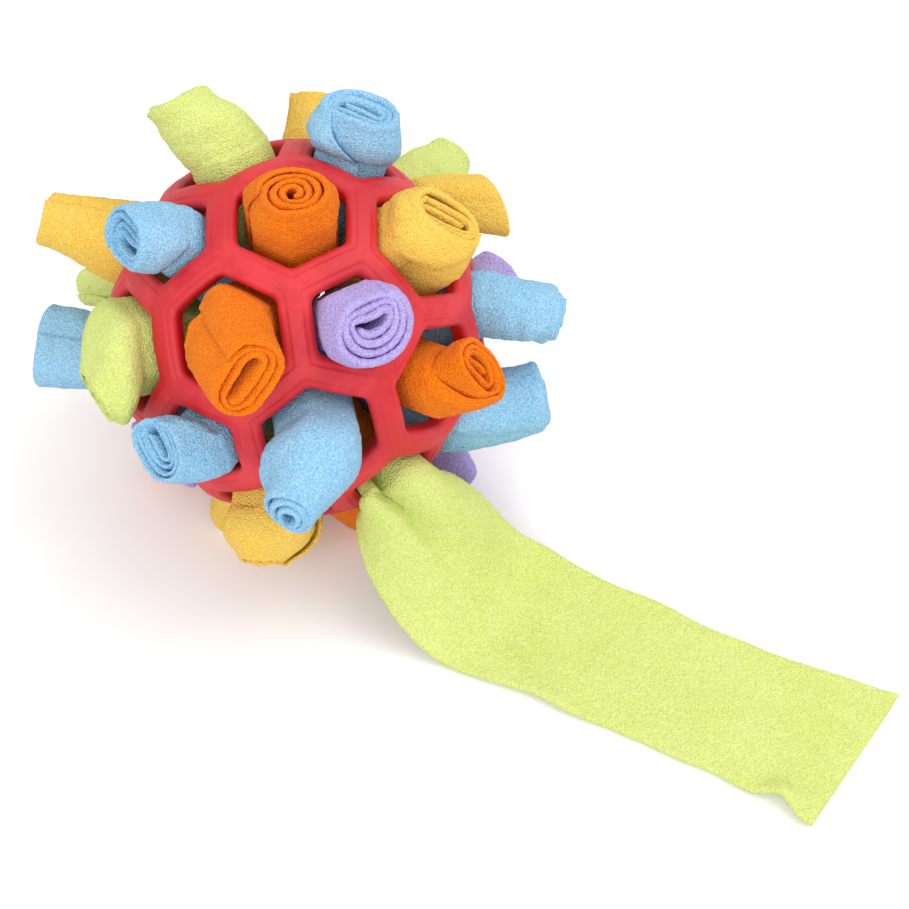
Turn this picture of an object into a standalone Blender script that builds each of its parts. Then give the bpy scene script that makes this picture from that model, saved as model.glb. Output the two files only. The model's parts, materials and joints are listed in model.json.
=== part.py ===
"""Hollow rubber lattice ball with rolled fleece strips tucked into its holes, one strip pulled out flat."""

import math
from itertools import combinations, product

import bmesh
import bpy
from mathutils import Euler, Matrix, Vector

# Rubber ball: a lattice of ribs round twelve pentagon holes and twenty hexagon holes
BALL_RADIUS = 0.050
BALL_WALL = 0.0055
RIB_WIDTH = 0.0084
RIB_INNER_WIDTH = 0.0060
RIB_ROUNDING = 0.0011
HOLE_CORNER_RADIUS = 0.0024
HOLE_CORNER_SHARE = 0.2
BALL_TURN_DEGREES = (77.5, -2.7, 32.7)
# How high the lowest rolls hold the ball over the floor, and how far the floor trims their ends
BALL_LIFT = 0.0085
FOOT_CUT = 0.0005

# Fleece strips: every one is the same cut, rolled up or left flat
STRIP_WIDTH = 0.045
STRIP_LENGTH = 0.170
STRIP_THICKNESS = 0.0026
ROLL_TURN_GAP = 0.0016
ROLL_POINTS_PER_TURN = 7
ROLL_EYE = 0.0012
ROLL_TIGHTENING_SHARE = 0.3
ROLL_CLEARANCE = 0.0003
COLLAR_HEIGHT = 0.0015
TIP_ROOM_SHARE = 0.6
CORE_RADIUS = 0.018
LEAST_TURN_GAP = 0.0004

# Tail: the strip that lies on the floor. Its other end is arched over into a tube that the hole grips, rolled
# over so that its open seam faces +Y.
TAIL_TUCK = 0.006
TAIL_COLLAR = 0.0055
TAIL_PINCHED_THICKNESS = 0.0019
TAIL_TUBE_TURN = math.radians(330)
TAIL_TUBE_ROLL = math.radians(42)
TAIL_SWING = 0.043
TAIL_SPREAD = 0.0255
TAIL_PLEAT = 0.0045
TAIL_PLEAT_WIDTH = 0.0034
TAIL_PLEAT_LENGTH = 0.040
TAIL_HEADING = math.radians(-27.3)
TAIL_ROWS = 26
TAIL_CROWDING = 1.25
TAIL_COLUMNS = 16
TAIL_FLAT_ROOM = 0.0001
TAIL_EASING_SHARE = 0.98
TAIL_ROUTE_STEPS = 120
REACH_TRIES = 4

# Colours as Blender's linear values: red, green, blue
RUBBER_RED = (0.60, 0.035, 0.050)
RUBBER_ROUGHNESS = 0.55
FLEECE_ROUGHNESS = 0.95
FLEECE = {
    "blue": (0.30, 0.60, 0.84),
    "lime": (0.66, 0.86, 0.15),
    "orange": (0.93, 0.27, 0.010),
    "purple": (0.50, 0.40, 0.83),
    "yellow": (0.94, 0.58, 0.065),
}

# Per roll: colour, name, then shares of the strip's width: head past the ball, lean across and lean up,
# then the head's radius as a share of the hole, its squash, and the squash's direction in degrees.
# A reach of None marks a roll that the ball stands on: it goes down until the floor stops it.
PENTAGON_ROLL_SHARES = (
    ("purple", "roll_front", 0.26, -0.05, -0.05, 1.12, 0.12, 90),
    ("blue", "roll_top", 0.27, 0.00, 0.10, 1.20, 0.12, 135),
    ("blue", "roll_right", 0.40, -0.05, -0.04, 1.04, 0.14, 135),
    ("orange", "roll_back", 0.22, 0.00, 0.00, 1.00, 0.08, 130),
    ("purple", "foot_roll_right", None, -0.36, 0.00, 1.05, 0.10, 90),
    ("blue", "roll_front_left", 0.22, -0.18, 0.14, 0.98, 0.15, 45),
    ("lime", "tail", None, 0.00, 0.00, 1.00, 0.00, 0),
    ("blue", "roll_upper_left", 0.24, 0.08, -0.13, 1.02, 0.12, 110),
    ("lime", "roll_back_right", 0.62, -0.03, 0.07, 0.90, 0.16, 120),
    ("purple", "foot_roll_back", None, 0.00, -0.16, 1.00, 0.05, 0),
    ("yellow", "foot_roll_front", None, -0.03, 0.00, 1.00, 0.10, 0),
    ("blue", "roll_left", 0.43, -0.08, 0.08, 1.30, 0.34, 55),
)
HEXAGON_ROLL_SHARES = (
    ("yellow", "roll_upper_right", 0.24, 0.01, 0.04, 0.94, 0.20, 5),
    ("orange", "roll_crown", 0.19, 0.01, -0.03, 0.86, 0.06, 90),
    ("orange", "roll_front_right", 0.24, 0.08, 0.12, 0.78, 0.20, 10),
    ("blue", "roll_lower_front", 0.44, -0.24, -0.06, 0.62, 0.06, 135),
    ("orange", "roll_upper_front", 0.24, 0.28, -0.14, 0.90, 0.24, 158),
    ("yellow", "roll_right_rear", 0.27, -0.18, -0.17, 0.80, 0.24, 150),
    ("lime", "roll_top_back", 0.37, 0.18, -0.02, 0.92, 0.14, 67),
    ("yellow", "roll_rear", 0.28, 0.13, 0.02, 0.76, 0.15, 45),
    ("blue", "roll_lower_right", 0.35, 0.25, 0.20, 0.82, 0.18, 130),
    ("purple", "roll_lower_right", 0.34, 0.12, 0.12, 0.76, 0.10, 150),
    ("yellow", "roll_left", 0.48, 0.09, -0.06, 0.68, 0.15, 45),
    ("purple", "roll_lower_back", 0.40, 0.00, 0.02, 0.84, 0.10, 120),
    ("lime", "roll_lower_left", 0.56, 0.20, -0.07, 0.74, 0.18, 135),
    ("orange", "foot_roll_front", None, 0.06, -0.16, 0.80, 0.08, 0),
    ("orange", "foot_roll_rear", None, 0.00, -0.20, 0.80, 0.08, 0),
    ("lime", "foot_roll_center", None, 0.00, 0.00, 0.92, 0.05, 0),
    ("yellow", "roll_low_front", 0.23, -0.07, 0.01, 0.80, 0.15, 90),
    ("lime", "roll_front_left", 0.17, 0.20, -0.15, 0.92, 0.16, 110),
    ("purple", "roll_low_left", 0.06, -0.06, -0.04, 0.72, 0.10, 90),
    ("orange", "foot_roll_left", None, 0.00, -0.14, 0.80, 0.08, 0),
)
# Where the tail's middle comes down on the floor, along X and Y from under the ball's centre: shares of the
# ball's radius. Its pleat lies beside its middle, on the side towards -Y, by this share of its width.
TAIL_LANDING_SHARES = (1.20, -1.075)
TAIL_PLEAT_SHARE = 0.03

UP = Vector((0, 0, 1))


def clear_scene():
    """Removes whatever the new file came with."""
    for thing in list(bpy.data.objects):
        bpy.data.objects.remove(thing)


def make_material(name, color, roughness):
    """A plain coat in the piece's colour."""
    material = bpy.data.materials.new(name)
    material.use_nodes = True
    shader = material.node_tree.nodes["Principled BSDF"]
    shader.inputs["Base Color"].default_value = (*color, 1)
    shader.inputs["Roughness"].default_value = roughness
    shader.inputs["Metallic"].default_value = 0
    return material


def make_object(name, bm, material, parent):
    """Closes the bmesh into a named object on its parent."""
    bmesh.ops.recalc_face_normals(bm, faces=bm.faces)
    mesh = bpy.data.meshes.new(name)
    bm.to_mesh(mesh)
    bm.free()
    mesh.materials.append(material)
    mesh.shade_smooth()
    mesh.set_sharp_from_angle(angle=math.radians(40))
    thing = bpy.data.objects.new(name, mesh)
    bpy.context.scene.collection.objects.link(thing)
    thing.parent = parent
    return thing


def hole_layout():
    """Directions of the holes from the ball's centre, each with its corner directions in order round it."""
    golden = (1 + math.sqrt(5)) / 2
    turn = Euler([math.radians(a) for a in BALL_TURN_DEGREES]).to_matrix()
    tips = []
    for one, two in product((1, -1), repeat=2):
        place = (0, one, two * golden)
        tips += [turn @ Vector(place[k:] + place[:k]).normalized() for k in range(3)]
    # Each pentagon has five nearest neighbours, all of them less than a right angle away
    beside = []
    for tip in tips:
        beside.append([j for j, other in enumerate(tips) if tip is not other and tip.dot(other) > 0])
    pentagons = [(tip, [(2 * tip + tips[j]) / 3 for j in beside[i]]) for i, tip in enumerate(tips)]
    hexagons = []
    for trio in combinations(range(len(tips)), 3):
        if all(b in beside[a] for a, b in combinations(trio, 2)):
            middle = sum((tips[i] for i in trio), Vector()).normalized()
            hexagons.append((middle, [(2 * tips[i] + tips[j]) / 3 for i in trio for j in trio if i != j]))
    return [(middle, in_order(middle, corners)) for middle, corners in pentagons + hexagons]


def axes_round(middle):
    """Across and up directions on the face of a hole, as seen from outside the upright ball."""
    across = UP.cross(middle).normalized()
    return across, middle.cross(across)


def in_order(middle, corners):
    """The corners as unit directions, sorted counter-clockwise as seen from outside."""
    across, up = axes_round(middle)
    corners = [corner.normalized() for corner in corners]
    return sorted(corners, key=lambda c: math.atan2(c.dot(up), c.dot(across)))


def rounded_outline(corners, middle, radius, inset, fillet):
    """A hole's outline on the sphere of this radius: four points a side, the first at a corner's middle."""
    flat = [radius * corner for corner in corners]
    centre = middle * flat[0].dot(middle)
    half_angle = math.pi / len(flat)
    apothem = (flat[0] - centre).length * math.cos(half_angle)
    shrink = (apothem - inset) / apothem
    flat = [centre + (point - centre) * shrink for point in flat]
    # A fillet between two sides starts this far from their corner, and its middle lies this far in from it
    start = fillet * math.tan(half_angle)
    depth = fillet / math.cos(half_angle) - fillet
    outline = []
    for here, after in zip(flat, flat[1:] + flat[:1]):
        side = (after - here).normalized()
        outline += [
            here + (centre - here).normalized() * depth,
            here + side * start,
            (here + after) / 2,
            after - side * start,
        ]
    return [point.normalized() * radius for point in outline]


def rib_outline(corners, radius):
    """The middle line of the ribs round a hole, in points that match the hole's outline."""
    line = []
    for here, after in zip(corners, corners[1:] + corners[:1]):
        for share in (0, HOLE_CORNER_SHARE, 1 / 2, 1 - HOLE_CORNER_SHARE):
            line.append(here.lerp(after, share).normalized() * radius)
    return line


def make_ball(holes, parent):
    """One moulding: outer skin, rounded hole edges, hole walls and inner skin, sewn from ring to ring."""
    inside = BALL_RADIUS - BALL_WALL
    bm = bmesh.new()
    for middle, corners in holes:
        rings = [
            rib_outline(corners, BALL_RADIUS),
            rounded_outline(corners, middle, BALL_RADIUS, RIB_WIDTH / 2 - RIB_ROUNDING, HOLE_CORNER_RADIUS),
            rounded_outline(corners, middle, BALL_RADIUS - RIB_ROUNDING, RIB_WIDTH / 2, HOLE_CORNER_RADIUS),
            rounded_outline(corners, middle, inside, RIB_INNER_WIDTH / 2, HOLE_CORNER_RADIUS),
            rib_outline(corners, inside),
        ]
        rows = [[bm.verts.new(point) for point in ring] for ring in rings]
        for low, high in zip(rows, rows[1:]):
            for k in range(len(low)):
                bm.faces.new((low[k - 1], low[k], high[k], high[k - 1]))
    bmesh.ops.remove_doubles(bm, verts=bm.verts, dist=BALL_WALL / 1000)
    return make_object("lattice_ball", bm, make_material("red_rubber", RUBBER_RED, RUBBER_ROUGHNESS), parent)


def hole_passage(middle, corners):
    """Radius of the widest cylinder that passes a hole along its middle line."""
    passage = BALL_RADIUS
    for radius, inset in ((BALL_RADIUS, RIB_WIDTH / 2), (BALL_RADIUS - BALL_WALL, RIB_INNER_WIDTH / 2)):
        outline = rounded_outline(corners, middle, radius, inset, 0)
        passage = min([passage] + [(point - middle * point.dot(middle)).length for point in outline])
    return passage


def spiral_rows():
    """The rolled strip's section for a roll of radius 1: turn by turn, its angle, inner and outer radius."""
    full = hexagon_neck
    thickness = STRIP_THICKNESS / full
    first = ROLL_EYE / full + thickness / 2
    last = 1 - thickness / 2
    # As many turns as the hole has room for
    turns = (last - first) * full / (STRIP_THICKNESS + ROLL_TURN_GAP)
    count = round(turns * ROLL_POINTS_PER_TURN)
    rows = []
    for k in range(count + 1):
        wound = k / count
        # The turns lie closer together towards the outside
        radius = first + (last - first) * wound * (1 + ROLL_TIGHTENING_SHARE * (1 - wound))
        rows.append((math.tau * k / ROLL_POINTS_PER_TURN, radius - thickness / 2, radius + thickness / 2))
    return rows


def roll_levels(neck, head, reach, lean_across, lean_up, squash):
    """Heights past the ball, from a roll's inner end to its head, each with radius, squash, lean and tip."""
    inner = max(reach - STRIP_WIDTH, CORE_RADIUS - BALL_RADIUS)
    # Neighbours lie no nearer than a pentagon and a hexagon, so half that angle bounds the cone of each roll
    inner_radius = min(neck, (BALL_RADIUS + inner) * math.tan(neighbour_angle / 2) - ROLL_CLEARANCE)
    lean = math.hypot(lean_across, lean_up)
    room = math.asin(min(1, (reach - COLLAR_HEIGHT) / head) * TIP_ROOM_SHARE)
    return (
        (inner, inner_radius, 0, 0, 0),
        (-grip_depth, neck, 0, 0, 0),
        (COLLAR_HEIGHT, neck, squash, 0, 0),
        (reach, head, squash, lean, min(math.atan2(lean, reach), room)),
    )


def roll_bmesh(levels, lean_direction, squash_direction, free_edge):
    """A strip wound into a spiral band, pinched by the hole, flared and leaning over at its head."""
    lean_way = Vector((math.cos(lean_direction), math.sin(lean_direction), 0))
    squash_way = Vector((math.cos(squash_direction), math.sin(squash_direction), 0))
    rows = spiral_rows()
    first_angle = free_edge - rows[-1][0]
    bm = bmesh.new()
    rings = []
    for height, radius, squash, lean, tip in levels:
        inner_row, outer_row = [], []
        for angle, *radii in rows:
            for row, share in zip((inner_row, outer_row), radii):
                angle_here = first_angle + angle
                place = Vector((math.cos(angle_here), math.sin(angle_here), 0)) * radius * share
                place -= squash_way * place.dot(squash_way) * squash
                along = place.dot(lean_way)
                place += lean_way * (along * (math.cos(tip) - 1) + lean)
                place.z = height - along * math.sin(tip)
                row.append(bm.verts.new(place))
        rings.append((inner_row, outer_row))
    for (low_in, low_out), (high_in, high_out) in zip(rings, rings[1:]):
        low = low_in + low_out[::-1]
        high = high_in + high_out[::-1]
        for k in range(len(low)):
            bm.faces.new((low[k - 1], low[k], high[k], high[k - 1]))
    for inner_row, outer_row in (rings[0], rings[-1]):
        for k in range(1, len(inner_row)):
            bm.faces.new((inner_row[k - 1], inner_row[k], outer_row[k], outer_row[k - 1]))
    return bm


def least_gap(levels):
    """Smallest space between two turns of a roll."""
    rows = spiral_rows()
    turn = [rows[k + ROLL_POINTS_PER_TURN][1] - row[2] for k, row in enumerate(rows[:-ROLL_POINTS_PER_TURN])]
    return min(min(turn) * radius * (1 - squash) for _, radius, squash, _, _ in levels)


def foot_reach(middle, build):
    """How far a roll goes past the ball before its lowest point is the foot cut's depth under the floor."""
    across, up = axes_round(middle)
    reach = BALL_LIFT + STRIP_THICKNESS
    for _ in range(REACH_TRIES):
        bm = build(reach)
        lowest = min((across * v.co.x + up * v.co.y + middle * (BALL_RADIUS + v.co.z)).z for v in bm.verts)
        bm.free()
        reach += (lowest + BALL_RADIUS + BALL_LIFT + FOOT_CUT) / -middle.z
    return reach


def make_floor_cutter(parent):
    """A block under the floor that trims the rolls the ball stands on."""
    bm = bmesh.new()
    bmesh.ops.create_cube(bm, size=4 * BALL_RADIUS)
    cutter = make_object("floor_cutter", bm, bpy.data.materials["red_rubber"], parent)
    cutter.location = -UP * (BALL_LIFT + 3 * BALL_RADIUS)
    cutter.hide_render = True
    cutter.display_type = "WIRE"
    return cutter


def make_roll(hole, shares, cutter, parent):
    """A rolled strip in its hole, its origin where the hole's middle line leaves the ball."""
    middle, corners = hole
    color, name, reach_share, across_share, up_share, head_share, squash, squash_degrees = shares
    across, up = axes_round(middle)
    neck = hole_passage(middle, corners) - ROLL_CLEARANCE
    head = neck * head_share
    lean_direction = math.atan2(up_share, across_share)
    # The strip's free edge lies against the middle of a rib
    rib = corners[0] + corners[1] - middle * (corners[0] + corners[1]).dot(middle)
    free_edge = math.atan2(rib.dot(up), rib.dot(across))

    def levels_at(reach):
        return roll_levels(neck, head, reach, STRIP_WIDTH * across_share, STRIP_WIDTH * up_share, squash)

    def build(reach):
        return roll_bmesh(levels_at(reach), lean_direction, math.radians(squash_degrees), free_edge)

    reach = foot_reach(middle, build) if reach_share is None else STRIP_WIDTH * reach_share
    roll = make_object(f"{color}_{name}", build(reach), fleece[color], parent)
    roll.rotation_mode = "QUATERNION"
    roll.rotation_quaternion = Matrix((across, up, middle)).transposed().to_quaternion()
    roll.location = middle * BALL_RADIUS
    if reach_share is None:
        cut = roll.modifiers.new("floor", "BOOLEAN")
        cut.operation = "DIFFERENCE"
        cut.object = cutter
    gap = least_gap(levels_at(reach))
    print(f"{roll.name}: reach {reach * 1000:.1f} mm, least gap to itself {gap * 1000:.2f} mm")
    if gap < LEAST_TURN_GAP:
        print(f"{roll.name}: its turns come closer than planned")
    return roll


def ease(share):
    """From 0 to 1 with soft ends."""
    return share * share * (3 - 2 * share)


def tail_tube_radius(hole):
    """Radius of the tube that the arched strip makes where it passes level through its slanted hole."""
    middle, corners = hole
    slant = math.asin(-middle.z)
    passage = hole_passage(middle, corners) * math.cos(slant) - grip_depth / 2 * math.sin(slant)
    return passage - ROLL_CLEARANCE - TAIL_PINCHED_THICKNESS / 2


def tail_route(middle, radius):
    """Points down the ridge of the tail: out of the hole, over to its heading, and down to the floor."""
    level = Vector((middle.x, middle.y, 0)).normalized()
    heading = Vector((math.cos(TAIL_HEADING), math.sin(TAIL_HEADING), 0))
    grip = middle * (BALL_RADIUS - grip_depth / 2) + UP * radius
    collar = grip + level * TAIL_COLLAR
    landing = Vector(TAIL_LANDING_SHARES).to_3d() * BALL_RADIUS + UP * tail_floor
    route = [grip - level * TAIL_TUCK]
    for k in range(TAIL_ROUTE_STEPS + 1):
        s = k / TAIL_ROUTE_STEPS
        place = (collar * (1 + 2 * s) * (1 - s) ** 2 + landing * (3 - 2 * s) * s ** 2
                 + level * (TAIL_SWING * s * (1 - s) ** 2) - heading * (TAIL_SWING * s ** 2 * (1 - s)))
        place.z = collar.z + (landing.z - collar.z) * ease(s)
        route.append(place)
    return route + [landing + heading * STRIP_LENGTH]


def tail_cross_section(left, radius, pleat):
    """The strip's width as a pleated arch rolled over to -Y: places across, and down from the tube's top."""
    gathered = min(STRIP_WIDTH, TAIL_TUBE_TURN * radius)
    width = STRIP_WIDTH + (gathered - STRIP_WIDTH) * left
    bend = left / radius
    roll = TAIL_TUBE_ROLL * left
    section = []
    for k in range(TAIL_COLUMNS + 1):
        place = width * (k / TAIL_COLUMNS - 1 / 2)
        across, down = place, 0
        if left > 0:
            across = math.sin(place * bend) / bend
            down = (1 - math.cos(place * bend)) / bend
        down += pleat * math.exp(-(((place + STRIP_WIDTH * TAIL_PLEAT_SHARE) / TAIL_PLEAT_WIDTH) ** 2))
        height = radius - down
        section.append((across * math.cos(roll) - height * math.sin(roll),
                        radius - across * math.sin(roll) - height * math.cos(roll)))
    return section


def tail_rows(hole):
    """Rows of the strip down its length: place of its ridge, along, across, share of its curl, section."""
    middle = hole[0]
    radius = tail_tube_radius(hole)
    route = tail_route(middle, radius)
    lengths = [0.0]
    for before, after in zip(route, route[1:]):
        lengths.append(lengths[-1] + (after - before).length)
    hole_heading = math.atan2(middle.y, middle.x)
    rows = []
    for r in range(TAIL_ROWS + 1):
        # Rows lie closer together near the hole, where the strip bends
        distance = STRIP_LENGTH * (r / TAIL_ROWS) ** TAIL_CROWDING
        k = max(i for i, length in enumerate(lengths[:-1]) if length <= distance)
        place = route[k].lerp(route[k + 1], (distance - lengths[k]) / (lengths[k + 1] - lengths[k]))
        along = (route[k + 1] - route[k]).normalized()
        past_rim = max(0, distance - lengths[1])
        left = math.exp(-past_rim / TAIL_SPREAD)
        pleat = TAIL_PLEAT * math.exp(-((past_rim / TAIL_PLEAT_LENGTH) ** 2))
        # The floor opens the arch: its edges can't go lower than the strip lies
        room = place.z - tail_floor
        if room < TAIL_FLAT_ROOM:
            left = room = 0
        while left > 0 and tail_cross_section(left, radius, 0)[0][1] > room:
            left *= TAIL_EASING_SHARE
        pleat = min(pleat, room)
        swung = min(1, past_rim / (lengths[-2] - lengths[1]))
        heading = hole_heading + (TAIL_HEADING - hole_heading) * ease(swung)
        across = Vector((-math.sin(heading), math.cos(heading), 0))
        rows.append((place, along, across, left, tail_cross_section(left, radius, pleat)))
    return rows


def make_tail(hole, parent):
    """The flat strip: arched into a tube in its hole, opening as it comes down, then lying on the floor."""
    bm = bmesh.new()
    grid = []
    for place, along, across, left, section in tail_rows(hole):
        normal = across.cross(along).normalized()
        thickness = STRIP_THICKNESS + (TAIL_PINCHED_THICKNESS - STRIP_THICKNESS) * left
        under, over = [], []
        for k, (x, y) in enumerate(section):
            before, after = section[max(k - 1, 0)], section[min(k + 1, len(section) - 1)]
            run = Vector((after[0] - before[0], after[1] - before[1])).normalized() * (thickness / 2)
            under.append(bm.verts.new(place + across * (x + run.y) + normal * (y - run.x)))
            over.append(bm.verts.new(place + across * (x - run.y) + normal * (y + run.x)))
        grid.append(under + over[::-1])
    for low, high in zip(grid, grid[1:]):
        for k in range(len(low)):
            bm.faces.new((low[k - 1], low[k], high[k], high[k - 1]))
    for row in (grid[0], grid[-1]):
        for k in range(1, len(row) // 2):
            bm.faces.new((row[k - 1], row[k], row[-k - 1], row[-k]))
    return make_object("lime_tail", bm, fleece["lime"], parent)


def box_of(things):
    """Lowest and highest corners of the finished pieces."""
    graph = bpy.context.evaluated_depsgraph_get()
    places = []
    for thing in things:
        shown = thing.evaluated_get(graph)
        mesh = shown.to_mesh()
        places += [shown.matrix_world @ v.co for v in mesh.vertices]
        shown.to_mesh_clear()
    return [Vector([pick(p[k] for p in places) for k in range(3)]) for pick in (min, max)]


clear_scene()
fleece = {color: make_material(f"{color}_fleece", rgb, FLEECE_ROUGHNESS) for color, rgb in FLEECE.items()}
holes = hole_layout()
first_pentagon, last_hexagon = holes[0], holes[-1]
neighbour_angle = min(first_pentagon[0].angle(middle) for middle, _ in holes[len(PENTAGON_ROLL_SHARES):])
hexagon_neck = hole_passage(*last_hexagon) - ROLL_CLEARANCE
# How deep under the ball's surface a hexagon's inner rim lies, where the rolls are gripped
inner_rim = rounded_outline(last_hexagon[1], last_hexagon[0], BALL_RADIUS - BALL_WALL, RIB_INNER_WIDTH / 2, 0)
grip_depth = BALL_RADIUS - max(point.dot(last_hexagon[0]) for point in inner_rim)

# Height of the middle of the tail's thickness where it lies on the floor, from the ball's centre
tail_floor = STRIP_THICKNESS / 2 - BALL_RADIUS - BALL_LIFT

ball_centre = bpy.data.objects.new("ball_centre", None)
bpy.context.scene.collection.objects.link(ball_centre)
pieces = [make_ball(holes, ball_centre)]
floor_cutter = make_floor_cutter(ball_centre)
for hole, shares in zip(holes, PENTAGON_ROLL_SHARES + HEXAGON_ROLL_SHARES):
    if shares[1] == "tail":
        pieces.append(make_tail(hole, ball_centre))
    else:
        pieces.append(make_roll(hole, shares, floor_cutter, ball_centre))

# The whole toy stands on the ground plane, with the middle of its base at the origin
bpy.context.view_layer.update()
low, high = box_of(pieces)
ball_centre.location = Vector((-(low.x + high.x) / 2, -(low.y + high.y) / 2, BALL_RADIUS + BALL_LIFT))
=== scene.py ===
import json
import math
from itertools import combinations, product

import bpy
import numpy as np
from mathutils import Euler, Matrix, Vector, noise


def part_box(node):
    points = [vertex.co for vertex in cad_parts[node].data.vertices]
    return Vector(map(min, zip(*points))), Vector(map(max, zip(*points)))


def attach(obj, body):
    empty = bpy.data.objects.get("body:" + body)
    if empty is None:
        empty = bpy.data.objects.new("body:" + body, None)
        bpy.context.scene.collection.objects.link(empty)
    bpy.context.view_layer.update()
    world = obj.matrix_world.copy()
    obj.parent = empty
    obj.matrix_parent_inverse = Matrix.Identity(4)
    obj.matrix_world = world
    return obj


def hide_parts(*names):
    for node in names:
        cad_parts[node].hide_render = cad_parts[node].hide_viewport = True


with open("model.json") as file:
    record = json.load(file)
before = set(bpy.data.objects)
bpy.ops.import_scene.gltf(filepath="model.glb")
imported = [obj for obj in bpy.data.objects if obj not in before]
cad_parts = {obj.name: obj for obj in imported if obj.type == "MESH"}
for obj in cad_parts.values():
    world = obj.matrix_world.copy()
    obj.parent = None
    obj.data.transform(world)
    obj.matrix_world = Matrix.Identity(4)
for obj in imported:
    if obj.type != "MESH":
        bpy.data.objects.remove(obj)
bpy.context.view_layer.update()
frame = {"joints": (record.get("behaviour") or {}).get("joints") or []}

# The ball. One hollow moulding of soft red rubber, 100 mm across: ribs round twelve pentagon holes and
# twenty hexagon holes. Each rib has a raised band along its middle, left by the mould's inserts, a lower
# shoulder on each side, and rounded edges where the hole's wall goes in.
BALL_RADIUS = 0.050
BALL_WALL = 0.0055
RIB_WIDTH = 0.0084
RIB_INNER_WIDTH = 0.0060
HOLE_CORNER_RADIUS = 0.0026
BALL_TURN_DEGREES = (77.5, -2.7, 32.7)
# The rib's section from its middle out to the hole and in along the wall: inset from the middle, depth
RIB_BAND = ((0, 0.00004), (0.0008, 0), (0.0015, 0.00002), (0.0018, 0.00008), (0.0020, 0.00026),
            (0.0024, 0.00034), (0.0030, 0.00040), (0.0034, 0.00052), (0.0038, 0.00082), (0.0041, 0.00130),
            (RIB_WIDTH / 2, 0.00190))
RIB_BACK = ((0.00310, 0.0047), (0.00295, 0.0051), (0.00260, 0.0054), (0.00200, BALL_WALL), (0, BALL_WALL))
WALL_RING_SHARES = (1 / 3, 2 / 3)
CORNER_SHARE = 0.2
SIDE_SHARES = (0, 0.05, 0.10, 0.15, 0.2, 0.26, 0.34, 0.42)
RUBBER_LUMP = 0.00022
RUBBER_LUMP_WAVE = 0.016
SAME_PLACE_DIGITS = 6

UP = Vector((0, 0, 1))
low_corner, high_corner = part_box("lattice_ball")
ball_middle = (low_corner + high_corner) / 2


def axes_round(middle):
    """Across and up directions on the face of a hole, as seen from outside the upright ball."""
    across = UP.cross(middle).normalized()
    return across, middle.cross(across)


def hole_layout():
    """Each hole's middle direction, with its corner directions counter-clockwise as seen from outside."""
    golden = (1 + math.sqrt(5)) / 2
    turn = Euler([math.radians(a) for a in BALL_TURN_DEGREES]).to_matrix()
    tips = []
    for one, two in product((1, -1), repeat=2):
        place = (0, one, two * golden)
        tips += [turn @ Vector(place[k:] + place[:k]).normalized() for k in range(3)]
    beside = []
    for tip in tips:
        beside.append([j for j, other in enumerate(tips) if tip is not other and tip.dot(other) > 0])
    found = [(tip, [2 * tip + tips[j] for j in beside[i]]) for i, tip in enumerate(tips)]
    for trio in combinations(range(len(tips)), 3):
        if all(b in beside[a] for a, b in combinations(trio, 2)):
            middle = sum((tips[i] for i in trio), Vector()).normalized()
            found.append((middle, [2 * tips[i] + tips[j] for i in trio for j in trio if i != j]))
    layout = []
    for middle, corners in found:
        across, up = axes_round(middle)
        corners = [corner.normalized() for corner in corners]
        corners.sort(key=lambda corner: math.atan2(corner.dot(up), corner.dot(across)))
        layout.append((middle, corners))
    return layout


def hole_outline(middle, corners, radius, inset, corner_radius):
    """A hole's outline on the sphere of this radius, drawn in by the inset, its corners rounded."""
    flat = [radius * corner for corner in corners]
    centre = middle * flat[0].dot(middle)
    half_angle = math.pi / len(flat)
    apothem = (flat[0] - centre).length * math.cos(half_angle)
    flat = [centre + (point - centre) * ((apothem - inset) / apothem) for point in flat]
    start = corner_radius * math.tan(half_angle)
    outline = []
    for here, after in zip(flat, flat[1:] + flat[:1]):
        along = (after - here).normalized()
        inward = middle.cross(along)
        side = (after - here).length
        halves = [[], []]
        for share in SIDE_SHARES + (0.5,):
            if share < CORNER_SHARE and corner_radius > 0:
                turn = half_angle * (1 - share / CORNER_SHARE)
                run = start - corner_radius * math.sin(turn)
                rise = corner_radius * (1 - math.cos(turn))
            else:
                run = start + (side - 2 * start) * (share - CORNER_SHARE) / (1 - 2 * CORNER_SHARE)
                if corner_radius == 0:
                    run = side * share
                rise = 0
            halves[0].append(here + along * run + inward * rise)
            halves[1].append(after - along * run + inward * rise)
        outline += halves[0] + halves[1][-2:0:-1]
    return [point.normalized() * radius for point in outline]


def mesh_piece(name, points, quads, body):
    """A smooth mesh in the row frame that rides on a body."""
    mesh = bpy.data.meshes.new(name)
    mesh.from_pydata(np.asarray(points).tolist(), [], np.asarray(quads).tolist())
    mesh.shade_smooth()
    piece = bpy.data.objects.new(name, mesh)
    bpy.context.scene.collection.objects.link(piece)
    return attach(piece, body)


def ring_quads(rings, count, first):
    """Faces between closed rings of points that lie one after another."""
    quads = []
    for r in range(rings - 1):
        for k in range(count):
            a, b = first + r * count + k, first + r * count + (k + 1) % count
            quads.append((a, b, b + count, a + count))
    return quads


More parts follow.
